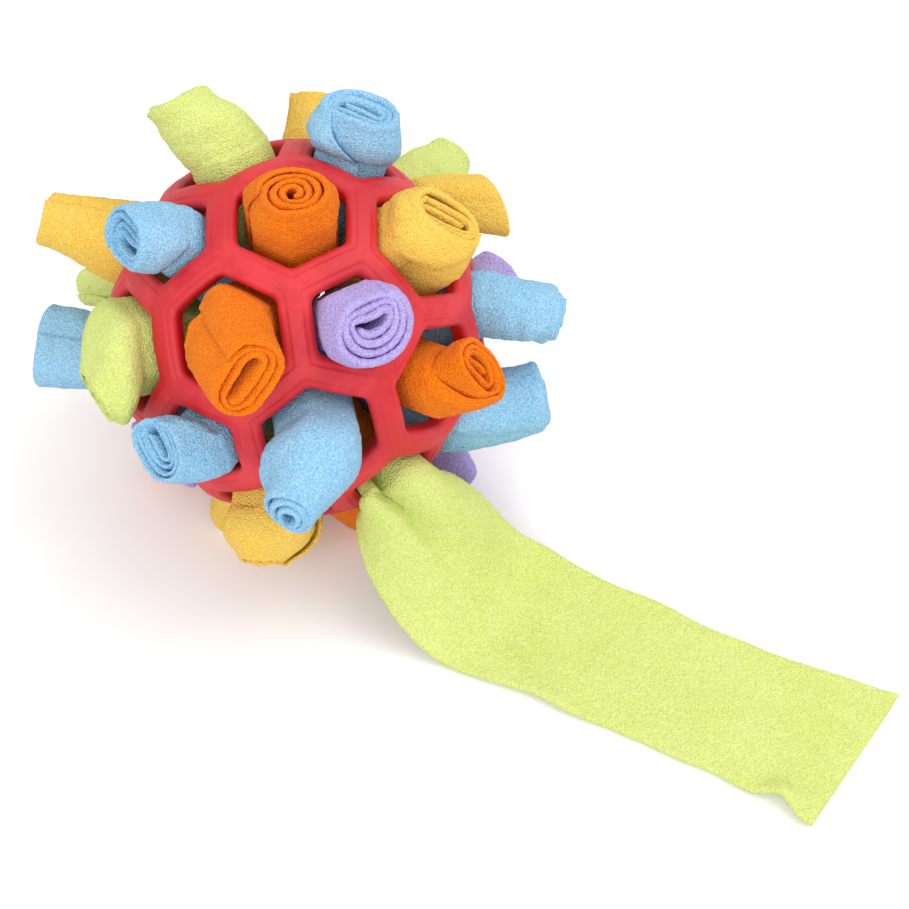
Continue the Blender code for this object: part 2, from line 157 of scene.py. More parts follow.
holes = hole_layout()
ball_points, ball_quads = [], []
for middle, corners in holes:
    first = len(ball_points)
    section = [(0, RIB_BAND[0][1], 0)]
    section += [(inset, depth, HOLE_CORNER_RADIUS * inset * 2 / RIB_WIDTH)
                for inset, depth in RIB_BAND[1:]]
    wall_from, wall_to = RIB_BAND[-1], RIB_BACK[0]
    for share in WALL_RING_SHARES:
        section.append((wall_from[0] + (wall_to[0] - wall_from[0]) * share,
                        wall_from[1] + (wall_to[1] - wall_from[1]) * share, HOLE_CORNER_RADIUS))
    section += [(inset, depth, HOLE_CORNER_RADIUS * inset * 2 / RIB_INNER_WIDTH)
                for inset, depth in RIB_BACK]
    for inset, depth, corner_radius in section:
        ball_points += hole_outline(middle, corners, BALL_RADIUS - depth, inset, corner_radius)
    count = (len(ball_points) - first) // len(section)
    ball_quads += ring_quads(len(section), count, first)

# Ribs meet where two holes drew the same points
keys = {}
same = []
for i, point in enumerate(ball_points):
    same.append(keys.setdefault(tuple(round(c, SAME_PLACE_DIGITS) for c in point), i))
kept = sorted(keys.values())
place_of = {i: n for n, i in enumerate(kept)}
ball_points = [ball_points[i] for i in kept]
ball_quads = [[place_of[same[i]] for i in quad] for quad in ball_quads]
for point in ball_points:
    point *= 1 + RUBBER_LUMP / BALL_RADIUS * (noise.noise(point / RUBBER_LUMP_WAVE) - 0.5)
ball = mesh_piece("rubber_ball", [point + ball_middle for point in ball_points], ball_quads, "lattice_ball")
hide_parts("lattice_ball")


class Shade:
    """A socket of a material. Sums and products of values add Math nodes."""

    def __init__(self, tree, socket=None):
        self.tree = tree
        self.socket = socket

    def node(self, kind, inputs=None, output=0, **settings):
        """Adds a node, its settings first, then its sockets' values or links."""
        made = self.tree.nodes.new(kind)
        for name, value in settings.items():
            setattr(made, name, value)
        for name, value in (inputs or {}).items():
            if isinstance(value, Shade):
                self.tree.links.new(value.socket, made.inputs[name])
            else:
                made.inputs[name].default_value = value
        return Shade(self.tree, made.outputs[output])

    def maths(self, operation, a, b):
        return self.node("ShaderNodeMath", {0: a, 1: b}, operation=operation)

    def __add__(self, other):
        return self.maths("ADD", self, other)

    def __radd__(self, other):
        return self.maths("ADD", other, self)

    def __sub__(self, other):
        return self.maths("SUBTRACT", self, other)

    def __rsub__(self, other):
        return self.maths("SUBTRACT", other, self)

    def __mul__(self, other):
        return self.maths("MULTIPLY", self, other)

    def __rmul__(self, other):
        return self.maths("MULTIPLY", other, self)

    def between(self, low, high):
        """The value's place between low and high, from 0 to 1, with soft ends."""
        inputs = {"Value": self, "From Min": low, "From Max": high}
        return self.node("ShaderNodeMapRange", inputs, interpolation_type="SMOOTHSTEP")

    def mixed(self, one, other):
        """One colour where this value is 0, the other where it is 1."""
        return self.node("ShaderNodeMix", {0: self, 6: one, 7: other}, output=2, data_type="RGBA")


def new_material(name):
    """A material with its coat's shader and the place on the surface, in the row frame at rest."""
    material = bpy.data.materials.new(name)
    material.use_nodes = True
    tree = material.node_tree
    shader = tree.nodes["Principled BSDF"]
    place = Shade(tree).node("ShaderNodeTexCoord", output="Object")
    return material, shader, place


def feed(shader, socket, value):
    """Links a value to one of the shader's sockets."""
    shader.id_data.links.new(value.socket, shader.inputs[socket])


# The rubber's deep red, the dusty bloom on it, and the dark scuffs drawn out along streaks
RUBBER_DEEP = (0.56, 0.010, 0.020, 1)
RUBBER_DUSTY = (0.69, 0.031, 0.042, 1)
RUBBER_SCUFF = (0.30, 0.008, 0.016, 1)
RUBBER_BLOOM_SCALE = 70
RUBBER_BLOOM_RANGE = (0.42, 0.68)
RUBBER_GRAIN_SCALE = 900
RUBBER_SCUFF_SCALE = 55
RUBBER_SCUFF_RANGE = (0.66, 0.76)
RUBBER_SCUFF_SHARE = 0.55
RUBBER_STREAK_TURN = (0.4, 0.9, 0.2)
RUBBER_STREAK_SQUEEZE = (1, 1, 9)
RUBBER_ROUGHNESS = 0.42
RUBBER_BLOOM_ROUGHNESS = 0.22
RUBBER_BLOOM_RELIEF = 0.5
RUBBER_GRAIN_RELIEF = 0.25
RUBBER_SCUFF_RELIEF = 0.4
RUBBER_RELIEF = 0.0004
RUBBER_RELIEF_STRENGTH = 0.35

rubber, shader, place = new_material("red_rubber")
bloom = place.node("ShaderNodeTexNoise",
                   {"Vector": place, "Scale": RUBBER_BLOOM_SCALE, "Detail": 5, "Roughness": 0.6})
grain = place.node("ShaderNodeTexNoise", {"Vector": place, "Scale": RUBBER_GRAIN_SCALE, "Detail": 3})
streaks = place.node("ShaderNodeMapping",
                     {"Vector": place, "Rotation": RUBBER_STREAK_TURN, "Scale": RUBBER_STREAK_SQUEEZE})
scuffs = place.node("ShaderNodeTexNoise",
                    {"Vector": streaks, "Scale": RUBBER_SCUFF_SCALE, "Detail": 6, "Roughness": 0.65})
dusty = bloom.between(*RUBBER_BLOOM_RANGE).mixed(RUBBER_DEEP, RUBBER_DUSTY)
worn = scuffs.between(*RUBBER_SCUFF_RANGE) * RUBBER_SCUFF_SHARE
feed(shader, "Base Color", worn.mixed(dusty, RUBBER_SCUFF))
feed(shader, "Roughness", RUBBER_ROUGHNESS + bloom * RUBBER_BLOOM_ROUGHNESS)
relief = bloom * RUBBER_BLOOM_RELIEF + grain * RUBBER_GRAIN_RELIEF - worn * RUBBER_SCUFF_RELIEF
bump = place.node("ShaderNodeBump",
                  {"Height": relief, "Strength": RUBBER_RELIEF_STRENGTH, "Distance": RUBBER_RELIEF})
feed(shader, "Normal", bump)
ball.data.materials.append(rubber)

# The fleece strips. Thirty-two strips of polyester fleece, 45 by 170 mm, cut with plain raw edges. The
# cloth is soft and a little over 2 mm thick with a brushed, pebbly nap on both faces, in five colours.
STRIP_WIDTH = 0.045
STRIP_LENGTH = 0.170
STRIP_THICKNESS = 0.0024
NAP_HEIGHT = 0.00026
NAP_WAVE = 0.0012
PILE_CLUMP_SCALE = 1900
PILE_CLUMP_RANGE = (0.25, 0.75)
PILE_CLUMP_SHARE = 0.55
PILE_FIBRE_SCALE = 3200
PILE_FIBRE_RANGE = (0.35, 0.70)
PILE_FIBRE_SHARE = 0.45
PILE_PATCH_SCALE = 60
PILE_PATCH_SHARE = 0.5
PILE_DRIFT_SCALE = 140
PILE_DRIFT = 0.0012
PILE_FIBRE_RELIEF = 0.5
PILE_DEPTH = 0.0006
PILE_STRENGTH = 0.9
FLEECE_ROUGHNESS = 0.95
FLEECE_SPECULAR = 0.1
FLEECE_SHEEN = 0.05
FLEECE_SHEEN_ROUGHNESS = 0.6
# The fleece's lit colour, and a painted shade colour that is laid in the crevices between clumps of fibre
# and in random flecks
FLEECE_COLOURS = {
    "blue": ((0.46, 0.74, 0.92, 1), (0.16, 0.46, 0.77, 1)),
    "lime": ((0.84, 0.89, 0.35, 1), (0.60, 0.74, 0.13, 1)),
    "orange": ((0.99, 0.28, 0.003, 1), (0.84, 0.13, 0.001, 1)),
    "purple": ((0.64, 0.55, 0.92, 1), (0.38, 0.28, 0.70, 1)),
    "yellow": ((0.98, 0.72, 0.17, 1), (0.90, 0.50, 0.04, 1)),
}


def fleece_cloth(name, tips, crevice_shade_and_flecks):
    """Brushed fleece: pale clumps of fibre with painted shade in the crevices between them, and random
    flecks and patches of deeper tone.
    """
    cloth, shader, place = new_material(name)
    drift = place.node("ShaderNodeTexNoise", {"Vector": place, "Scale": PILE_DRIFT_SCALE, "Detail": 3})
    swirl = place.node("ShaderNodeVectorMath", {0: drift, 1: (PILE_DRIFT,) * 3}, operation="MULTIPLY")
    swirled = place.node("ShaderNodeVectorMath", {0: place, 1: swirl}, operation="ADD")
    clumps = place.node("ShaderNodeTexVoronoi",
                        {"Vector": swirled, "Scale": PILE_CLUMP_SCALE, "Smoothness": 0.4},
                        feature="SMOOTH_F1")
    fibres = place.node("ShaderNodeTexNoise",
                        {"Vector": swirled, "Scale": PILE_FIBRE_SCALE, "Detail": 4, "Roughness": 0.7})
    patches = place.node("ShaderNodeTexNoise", {"Vector": place, "Scale": PILE_PATCH_SCALE, "Detail": 3})
    # Painted shade: the darker colour fills the crevices between clumps of fibre, mixed with random flecks
    # and patches of tone
    depth = (clumps.between(*PILE_CLUMP_RANGE) * PILE_CLUMP_SHARE
             + fibres.between(*PILE_FIBRE_RANGE) * PILE_FIBRE_SHARE
             + (patches - 0.5) * PILE_PATCH_SHARE)
    feed(shader, "Base Color", depth.mixed(tips, crevice_shade_and_flecks))
    pile = fibres * PILE_FIBRE_RELIEF - clumps
    bump = place.node("ShaderNodeBump",
                      {"Height": pile, "Strength": PILE_STRENGTH, "Distance": PILE_DEPTH})
    feed(shader, "Normal", bump)
    shader.inputs["Roughness"].default_value = FLEECE_ROUGHNESS
    shader.inputs["Specular IOR Level"].default_value = FLEECE_SPECULAR
    shader.inputs["Sheen Weight"].default_value = FLEECE_SHEEN
    shader.inputs["Sheen Roughness"].default_value = FLEECE_SHEEN_ROUGHNESS
    return cloth


cloths = {colour: fleece_cloth(f"{colour}_fleece", *pair) for colour, pair in FLEECE_COLOURS.items()}

# How a strip is rolled: wound on itself from one short end, pushed into its hole by one edge, gripped by
# the hole's rim, and loose above it, where the turns open, flatten and lean over as the cloth likes.
NECK_CLEARANCE = 0.0002
BALL_CLEARANCE = 0.0003
CORE_RADIUS = 0.018
GRIP_DEPTH = 0.0073
COLLAR_HEIGHT = -0.0015
EDGE_STEPS = (0, 0.0002, 0.0006, 0.0012)
EDGE_FULLNESS = 0.06
NOISE_SEED_STEP = 7.3

# The spiral: its open eye, its flat fold and hook at the core, and how its turns fill the roll's width
ROLL_POINTS = 220
ROLL_LEVELS = 60
ROLL_EYE = 0.0012
WOUND_SHARE = 0.72
WINDING_STEPS = 2400
WINDING_TRIES = 6
FIRST_TURNS = 3.0
SPARE_TURN = 0.4
TURN_FILL = 0.93
FOLD_SHARPNESS = 2.5
HOOK_REACH = 1.6
HOOK_BALANCE = 0.8
CORE_FADE_POWER = 1.5
LAST_TURN_FROM = 0.97
LAST_TURN_LENGTH = 0.004
LAST_TURN_SINK = 0.35

# How a roll fills its hole's corners, and how it widens, leans, nods, closes and creases up to its head
RIM_CORNER_SHARE = 0.72
INNER_CORNER_SHARE = 0.92
CORNER_FADE_RATE = 1.6
FLARE_POWER = 0.8
LEAN_POWER = 1.2
NOD_ROOM_SHARE = 0.6
CLOSING_FROM = 0.5
CLOSING_POWER = 1.5
LOOSENING_RATE = 1.5
RESTING_RATE = 12
EDGE_WAVE = 0.0011
EDGE_WAVE_LENGTH = 0.011
LUMP_WAVE = 0.010
GRIPPED_LUMP_SHARE = 0.15
CREASE_WAVE = 0.0034
CREASE_SQUEEZE = (0.45, 0.45, 1)


def smooth_step(value):
    """From 0 to 1 with soft ends."""
    value = np.clip(value, 0, 1)
    return value * value * (3 - 2 * value)


def hole_passage(middle, corners):
    """Radius of the widest cylinder that passes a hole along its middle line."""
    rims = ((BALL_RADIUS, RIB_WIDTH / 2), (BALL_RADIUS - BALL_WALL, RIB_INNER_WIDTH / 2))
    passage = BALL_RADIUS
    for radius, inset in rims:
        for point in hole_outline(middle, corners, radius, inset, 0):
            passage = min(passage, (point - middle * point.dot(middle)).length)
    return passage


def hole_of(node):
    """The hole that a roll sits in: the one that its joint points out of."""
    joint = next(j for j in frame["joints"] if j["child"] == node)
    return max(holes, key=lambda hole: hole[0].dot(Vector(joint["axis"])))


def with_edges(length, count):
    """Even steps along a length, closer together at both ends, where the cloth's edge is rounded."""
    first = EDGE_STEPS[-1]
    inner = np.linspace(first, length - first, count)
    return np.concatenate([EDGE_STEPS[:-1], inner, length - np.array(EDGE_STEPS[-2::-1])])


def noise_at(points, wave, seed):
    """Smooth noise at each point, about -1 to 1, another one for each seed."""
    shifted = points.reshape(-1, 3) / wave + seed * NOISE_SEED_STEP
    return np.array([noise.noise(Vector(place)) for place in shifted.tolist()]).reshape(points.shape[:-1])


def turned_by(vectors, angle):
    """Plane vectors turned counter-clockwise."""
    return vectors @ np.array([[math.cos(angle), math.sin(angle)], [-math.sin(angle), math.cos(angle)]])


def cloth_sheet(name, middles, normals, thickness, lengths, widths, body, cloth):
    """A closed sheet round its middle surface, with a napped face on each side and soft raw edges."""
    half = thickness / 2
    from_end = np.minimum(lengths, lengths[-1] - lengths)[:, None]
    from_side = np.minimum(widths, widths[-1] - widths)[None, :]
    from_edge = np.minimum(from_end, from_side)
    bevel = 1 - np.clip(from_edge / EDGE_STEPS[-1], 0, 1)
    rounded = np.sqrt(np.clip(1 - bevel ** 2, EDGE_FULLNESS, 1))
    sides = []
    for sign in (1, -1):
        surface = middles + normals * (half * rounded * sign)[..., None]
        nap = noise_at(surface, NAP_WAVE, sign) * NAP_HEIGHT
        sides.append(surface + normals * (nap * sign)[..., None])
    rows, columns = middles.shape[:2]
    grid = np.arange(rows * columns).reshape(rows, columns)
    quads = np.stack([grid[:-1, :-1], grid[1:, :-1], grid[1:, 1:], grid[:-1, 1:]], -1).reshape(-1, 4)
    under = quads[:, ::-1] + rows * columns
    rim = np.concatenate([grid[:, 0], grid[-1, 1:], grid[-2::-1, -1], grid[0, -2:0:-1]])
    after = np.roll(rim, -1)
    edge = np.stack([after, rim, rim + rows * columns, after + rows * columns], -1)
    points = np.concatenate([side.reshape(-1, 3) for side in sides])
    points[:, 2] = np.maximum(points[:, 2], 0)
    piece = mesh_piece(name, points, np.concatenate([quads, under, edge]), body)
    piece.data.materials.append(cloth)
    return piece


def roll(node, reach, lean, head, squash, along, *, seed, slot=0.0, hook=0.0, shift=(0, 0), spin=1, edge=0,
         skew=0.0, rise=0.0, closed=0.0, belly=0.06, lumps=0.0005, wrinkles=0.00025, neck_share=1.0,
         fill=0.85, tip=None):
    """One rolled strip. reach, lean, shift and rise are shares of its width, head one of the hole.

    Angles in degrees are seen from outside, from the level direction to the hole's right. squash is how
    far the roll is flattened and along the way that its long side lies. slot is the half-length of the flat
    fold at its core, hook how far that fold is bent over, spin the way it is wound, edge where the free
    edge lies at the ball, skew how far it has gone round at the head, rise how far the inner turns stick
    out, closed how far the head is drawn together, belly how far the roll swells below it, neck_share how
    much of the hole its neck takes, fill how well it fills the hole's corners, and tip the way and angle
    that it nods.
    """
    middle, corners = hole_of(node)
    across, up = axes_round(middle)
    passage = hole_passage(middle, corners)
    neck = (passage - NECK_CLEARANCE) * neck_share
    reach *= STRIP_WIDTH
    wide = passage * head
    narrow = wide * (1 - squash)
    inner = max(reach - STRIP_WIDTH, CORE_RADIUS - BALL_RADIUS)
    levels = with_edges(reach - inner, ROLL_LEVELS)
    heights = inner + levels
    along, edge = math.radians(along), math.radians(edge)

    climb = np.clip((heights - COLLAR_HEIGHT) / (reach - COLLAR_HEIGHT), 0, 1)
    side_middle = (corners[0] + corners[1]).normalized()
    pyramid = (BALL_RADIUS + heights) * math.tan(math.acos(side_middle.dot(middle)))
    held = np.minimum(neck, pyramid - NECK_CLEARANCE)
    flare = climb ** FLARE_POWER
    grow = smooth_step(flare)
    draw = 1 - closed * smooth_step((climb - CLOSING_FROM) / (1 - CLOSING_FROM)) ** CLOSING_POWER
    swell = neck * belly * np.sin(math.pi * flare) ** 2
    scale_x = (held + (wide - neck) * grow + swell) * draw / wide
    scale_y = (held + (narrow - neck) * grow + swell) * draw / narrow

    def section(angle, wound):
        """The strip's middle line: a spiral round a flat core that may be bent over like a hook."""
        far = ROLL_EYE + (narrow - STRIP_THICKNESS / 2 - ROLL_EYE) * wound
        core = slot + (wide * squash - slot) * wound
        sunk = smooth_step((wound - LAST_TURN_FROM) / (1 - LAST_TURN_FROM))
        far = far - LAST_TURN_SINK * STRIP_THICKNESS * sunk
        angle = angle - along
        straight = core * np.tanh(FOLD_SHARPNESS * np.cos(angle)) / math.tanh(FOLD_SHARPNESS)
        x = straight + far * np.cos(angle)
        y = far * np.sin(angle)
        bent = np.minimum(np.abs(x) / (slot + 2 * ROLL_EYE), HOOK_REACH) ** 2 - HOOK_BALANCE
        y = y + hook * bent * (1 - wound) ** CORE_FADE_POWER
        flat = turned_by(np.stack([x, y], -1), along)
        return flat + np.array(shift) * STRIP_WIDTH * (1 - wound)[..., None] ** CORE_FADE_POWER

    def angle_at(wound):
        """The spiral's angle where this share of the strip is wound."""
        return edge - spin * math.tau * turns * (1 - wound)

    # As many turns as it takes to wind up the strip
    fine = np.linspace(0, 1, WINDING_STEPS)
    needed = WOUND_SHARE * STRIP_WIDTH * STRIP_LENGTH / np.trapz((scale_x + scale_y) / 2, heights)
    turns = FIRST_TURNS
    for _ in range(WINDING_TRIES):
        steps = np.linalg.norm(np.diff(section(angle_at(fine), fine), axis=0), axis=1)
        turns *= needed / steps.sum()
    run = np.concatenate([[0], np.cumsum(steps)])
    thickness = min(STRIP_THICKNESS, (narrow - ROLL_EYE) / (turns + SPARE_TURN) * TURN_FILL)
    lengths = with_edges(run[-1], ROLL_POINTS)
    wound = np.interp(lengths, run, fine)

    angles = angle_at(wound)[:, None] + skew * wound[:, None] * climb[None, :]
    flat = turned_by(section(angles, wound[:, None] + 0 * climb), -along)
    flat = turned_by(flat * np.stack([scale_x, scale_y], -1)[None], along)

    # Between the ribs and inside the ball the cloth fills the corners that its neighbours leave
    first = math.atan2(corners[0].dot(up), corners[0].dot(across))
    share = math.tau / len(corners)
    off_side = (np.arctan2(flat[..., 1], flat[..., 0]) - first) % share - share / 2
    deep = smooth_step((-GRIP_DEPTH - heights) / GRIP_DEPTH)
    cornered = fill * RIM_CORNER_SHARE * (1 - smooth_step(climb * CORNER_FADE_RATE))
    cornered = cornered + (INNER_CORNER_SHARE - cornered) * deep
    flat = flat * (1 + (1 / np.cos(off_side) - 1) * cornered)[..., None]

    run_way = np.gradient(flat, axis=0)
    run_way /= np.linalg.norm(run_way, axis=-1, keepdims=True)
    facing = np.stack([run_way[..., 1], -run_way[..., 0]], -1)

    # Above the rim the roll leans over and its head nods
    lean = np.array(lean) * STRIP_WIDTH
    if tip is None:
        far_lean = float(np.hypot(*lean))
        room = math.asin(min(1, (reach - COLLAR_HEIGHT) / wide) * NOD_ROOM_SHARE)
        tip = (math.degrees(math.atan2(lean[1], lean[0])), min(math.atan2(far_lean, reach), room))
    way = np.array([math.cos(math.radians(tip[0])), math.sin(math.radians(tip[0]))])
    tipped = tip[1] * climb ** LEAN_POWER

    def nodded(points, level):
        """Places and heights tipped over towards the way that the head nods."""
        ahead = points @ way
        out = points + (ahead * (np.cos(tipped) - 1))[..., None] * way
        return out, level - ahead * np.sin(tipped)

    lifted = smooth_step(climb * LOOSENING_RATE)[None, :]
    wave = noise_at(np.stack([lengths, lengths * 0, lengths * 0], -1), EDGE_WAVE_LENGTH, seed + 3)
    rim_height = rise * STRIP_WIDTH * (1 - wound) + EDGE_WAVE * wave
    out, z = nodded(flat, heights[None, :])
    out = out + (climb ** LEAN_POWER)[None, :, None] * lean
    z = z + rim_height[:, None] * lifted
    facing, facing_z = nodded(facing, 0)
    local = np.concatenate([out, z[..., None]], -1)
    facing = np.concatenate([facing, facing_z[..., None]], -1)
    facing /= np.linalg.norm(facing, axis=-1, keepdims=True)
    loose = GRIPPED_LUMP_SHARE + (1 - GRIPPED_LUMP_SHARE) * lifted
    for k in range(2):
        local[..., k] += noise_at(local, LUMP_WAVE, seed * 2 + k + 11) * lumps * loose
    creases = noise_at(local * np.array(CREASE_SQUEEZE), CREASE_WAVE, seed + 40)
    outward = flat / np.maximum(np.linalg.norm(flat, axis=-1, keepdims=True), ROLL_EYE)
    local[..., :2] += outward * (creases * wrinkles * lifted)[..., None]

    # Cloth that leans on the ball rests on its skin
    local[..., 2] += BALL_RADIUS
    far = np.linalg.norm(local, axis=-1)
    least = BALL_RADIUS + BALL_CLEARANCE + thickness / 2
    resting = far + np.maximum(least - far, 0) * smooth_step(climb * RESTING_RATE)[None, :]
    local *= (resting / far)[..., None]
    basis = np.array([across, up, middle])
    middles = local @ basis + np.array(ball_middle)
    last = 1 - smooth_step((lengths[-1] - lengths) / LAST_TURN_LENGTH)
    tightened = np.minimum(np.minimum(scale_x, scale_y), 1)
    thin = thickness * tightened[None, :] * (1 - LAST_TURN_SINK * last)[:, None]
    colour = node.split("_")[0]
    piece = cloth_sheet(f"{node}_strip", middles, facing @ basis, thin, lengths, levels, node,
                        cloths[colour])
    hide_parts(node)


# The rolls that face the camera: purple in the middle, blue and yellow over it, orange all round it.
roll("purple_roll_front", 0.26, (0.00, -0.05), 1.20, 0.12, 0, slot=0.0028, hook=0.0026,
     shift=(0.00, 0.05), edge=60, tip=(300, 0.30), belly=0.20, fill=1.0, seed=1)
roll("blue_roll_top", 0.29, (-0.04, 0.10), 1.10, 0.12, 15, slot=0.0042, hook=0.0020, shift=(0.03, -0.03),
     edge=135, skew=-1.3, rise=-0.02, belly=0.34, tip=(100, 0.34), seed=2)
roll("blue_roll_right", 0.40, (-0.05, -0.11), 1.04, 0.14, 45, slot=0.0020, edge=200, rise=0.06,
     closed=0.20, lumps=0.0018, wrinkles=0.0013, seed=3)
roll("blue_roll_front_left", 0.22, (-0.125, 0.13), 0.98, 0.15, 315, slot=0.0035, edge=100,
     shift=(-0.02, 0.02), rise=-0.04, belly=0.14, tip=(100, 0.42), seed=4)
roll("blue_roll_upper_left", 0.24, (0.08, -0.13), 1.02, 0.12, 20, slot=0.0035, hook=0.0020, edge=250,
     rise=-0.06, belly=0.12, seed=5)
roll("yellow_roll_upper_right", 0.24, (0.01, 0.04), 0.92, 0.20, 275, slot=0.0060, edge=165,
     skew=1.6, rise=-0.05, closed=0.12, belly=0.08, seed=6)
roll("orange_roll_crown", 0.19, (0.01, -0.04), 0.81, 0.06, 0, edge=170, tip=(90, 0.18), belly=0.10,
     seed=7)
roll("orange_roll_front_right", 0.24, (0.08, 0.12), 0.76, 0.20, 100, slot=0.0030, hook=0.0022,
     spin=-1, edge=90, skew=2.6, rise=-0.03, neck_share=0.80, fill=0.2, belly=0.04, seed=8)
roll("orange_roll_upper_front", 0.24, (0.28, -0.14), 0.86, 0.24, 68, slot=0.0050, edge=150,
     tip=(345, 0.62), neck_share=0.94, belly=0.04, seed=9)
roll("blue_roll_lower_front", 0.44, (-0.24, -0.06), 0.60, 0.06, 45, edge=290, skew=0.8, rise=0.09,
     belly=0.36, lumps=0.0008, seed=10)

# The rolls at the sides and behind, which show their brushed outer turn more than their ends.
roll("lime_roll_front_left", 0.21, (0.22, -0.14), 1.02, 0.10, 20, edge=200, closed=0.26, lumps=0.0018,
     wrinkles=0.0006, tip=(275, 0.40), belly=0.30, seed=11)
roll("lime_roll_top_back", 0.38, (0.13, -0.11), 0.88, 0.12, 157, slot=0.0040, edge=300, neck_share=0.88,
     tip=(272, 0.22), closed=0.18, lumps=0.0016, wrinkles=0.0006, seed=12)
roll("lime_roll_back_right", 0.80, (-0.05, 0.03), 1.26, 0.14, 30, closed=0.32, belly=0.24,
     tip=(0, 0), seed=13)
roll("lime_roll_lower_left", 0.56, (0.20, -0.07), 0.72, 0.18, 45, closed=0.2, seed=14)
roll("blue_roll_left", 0.43, (-0.08, 0.08), 1.30, 0.34, 145, slot=0.0040, edge=60, seed=15)
roll("yellow_roll_left", 0.48, (0.09, -0.06), 0.64, 0.15, 135, slot=0.0020, edge=80, seed=16)
roll("yellow_roll_right_rear", 0.27, (-0.18, -0.20), 0.76, 0.24, 240, neck_share=0.72, fill=0,
     slot=0.0050, edge=60, tip=(233, 0.33), lumps=0.0010, seed=17)
roll("yellow_roll_rear", 0.36, (0.07, 0.02), 0.68, 0.15, 135, tip=(90, 0.30), seed=18)
roll("blue_roll_lower_right", 0.35, (0.25, 0.20), 0.82, 0.18, 40, slot=0.0030, edge=150, skew=0.8,
     rise=0.06, lumps=0.0008, seed=19)
roll("purple_roll_lower_right", 0.34, (0.12, 0.17), 0.74, 0.10, 60, seed=20)
roll("orange_roll_back", 0.04, (0, 0), 0.80, 0.08, 40, seed=21)
roll("purple_roll_lower_back", 0.40, (0, 0.02), 0.84, 0.10, 30, seed=22)
roll("yellow_roll_low_front", 0.29, (-0.04, 0.01), 0.90, 0.15, 0, edge=340, closed=0.34, lumps=0.0008,
     belly=0.16, tip=(270, 0.02), seed=33)
roll("purple_roll_low_left", 0.03, (-0.06, -0.04), 0.60, 0.10, 0, seed=24)

# The rolls under the ball, which it stands on: their ends are pressed flat on the floor.
roll("purple_foot_roll_right", 0.333, (-0.48, 0), 1.10, 0.10, 0, closed=0.1, seed=25)
roll("purple_foot_roll_back", 0.469, (0, -0.16), 1.00, 0.05, 0, seed=26)
roll("yellow_foot_roll_front", 0.302, (-0.16, -0.18), 0.92, 0.10, 0, seed=27)
roll("orange_foot_roll_front", 0.347, (0.18, -0.42), 0.72, 0.08, 0, seed=28)
roll("orange_foot_roll_rear", 0.522, (0, -0.20), 0.80, 0.08, 0, seed=29)
roll("lime_foot_roll_center", 0.178, (0, 0), 0.92, 0.05, 0, seed=30)
roll("orange_foot_roll_left", 0.444, (0, -0.14), 0.80, 0.08, 0, seed=31)

# The lime strip that was pulled out. Its end is still gathered in its hole, arched over with a crease
# pinched into its back. From there it twists open as it comes down, and it lies along the floor, drawn in
# a little where it was pulled, with soft wavy edges and a small fold turned up in its near one.
TAIL_PINCH = 0.2
TAIL_CLEARANCE = 0.0012
TAIL_TUCK = 0.006
TAIL_COLLAR = 0.0055
TAIL_TUBE_TURN = math.radians(330)
TAIL_TUBE_ROLL = math.radians(25)
TAIL_HEADING = math.radians(-27.3)
TAIL_LANDING = (0.0603, -0.0538)
TAIL_SWING_OUT = 0.042
TAIL_SWING_IN = 0.0615
TAIL_SPREAD = 0.0284
TAIL_EASE = 0.008
TAIL_SPLAY = 0.20
TAIL_ROWS = 240
TAIL_COLUMNS = 84
TAIL_ROUTE_STEPS = 200
# How the floor opens the arch: by steps of this share, down to the least curl that is still an arch
TAIL_OPENING_SHARE = 0.97
TAIL_LEAST_CURL = 0.001
# A crease and the valley beside it: depth, width, how far it runs, and place across the strip
TAIL_FOLDS = ((0.0076, 0.0033, 0.027, -0.0006), (0.0022, 0.0066, 0.034, 0.0020))
TAIL_FOLD_ROOM = 0.02
# Widening of the near half, a share, with its place past the rim and its length
TAIL_NEAR_SPREAD = (0.22, 0.002, 0.012)
# Bulge to the far side, rise of the far edge and fold in the near edge: size, place along, and length
TAIL_BULGE = (0.0006, 0.0475, 0.012)
TAIL_FAR_RISE = (0.0046, 0.064, 0.024)
TAIL_NEAR_FOLD = (0.0034, 0.160, 0.0048)
TAIL_NEAR_FOLD_SHARE = 0.22
TAIL_NEAR_FOLD_LEAN = 0.6
# Where the strip is drawn in, where it starts to ripple and where its ends' slant starts, along the strip
TAIL_DRAWN_IN = 0.08
TAIL_DRAWN_FROM = 0.070
TAIL_DRAWN_TO = 0.142
TAIL_DRAWN_EASE = 0.025
TAIL_RIPPLE_FROM = 0.06
TAIL_RIPPLE_EASE = 0.04
TAIL_SLANT_FROM = 0.08
TAIL_END_SLANT = 0.0036
# Ripples of the whole strip, least along its middle, and the wander of its edges
TAIL_RIPPLE = 0.0016
TAIL_RIPPLE_WAVE = 0.030
TAIL_RIPPLE_LIFT = 0.35
TAIL_MIDDLE_SHARE = 0.25
TAIL_EDGE_WANDER = 0.0013
TAIL_EDGE_WAVE = 0.013

columns_at = with_edges(STRIP_WIDTH, TAIL_COLUMNS)
tail_hole, tail_corners = hole_of("lime_tail")
slant = math.asin(-tail_hole.z)
tube_radius = (hole_passage(tail_hole, tail_corners) * math.cos(slant) - GRIP_DEPTH / 2 * math.sin(slant)
               - TAIL_CLEARANCE)


def arch(curl, width):
    """The strip's width as an arch with its edges down, rolled over: per column, across and down."""
    turn = curl / tube_radius
    way = (columns_at / STRIP_WIDTH - 0.5) * width * turn
    flat = np.stack([np.sin(way) / turn, tube_radius - (1 - np.cos(way)) / turn], -1)
    flat = turned_by(flat, TAIL_TUBE_ROLL * curl)
    return flat[:, 0] * (1 + TAIL_SPLAY * curl), tube_radius - flat[:, 1]


def bump_at(shape, along):
    """A soft bump along the strip."""
    size, middle, length = shape
    return size * np.exp(-((along - middle) / length) ** 2)


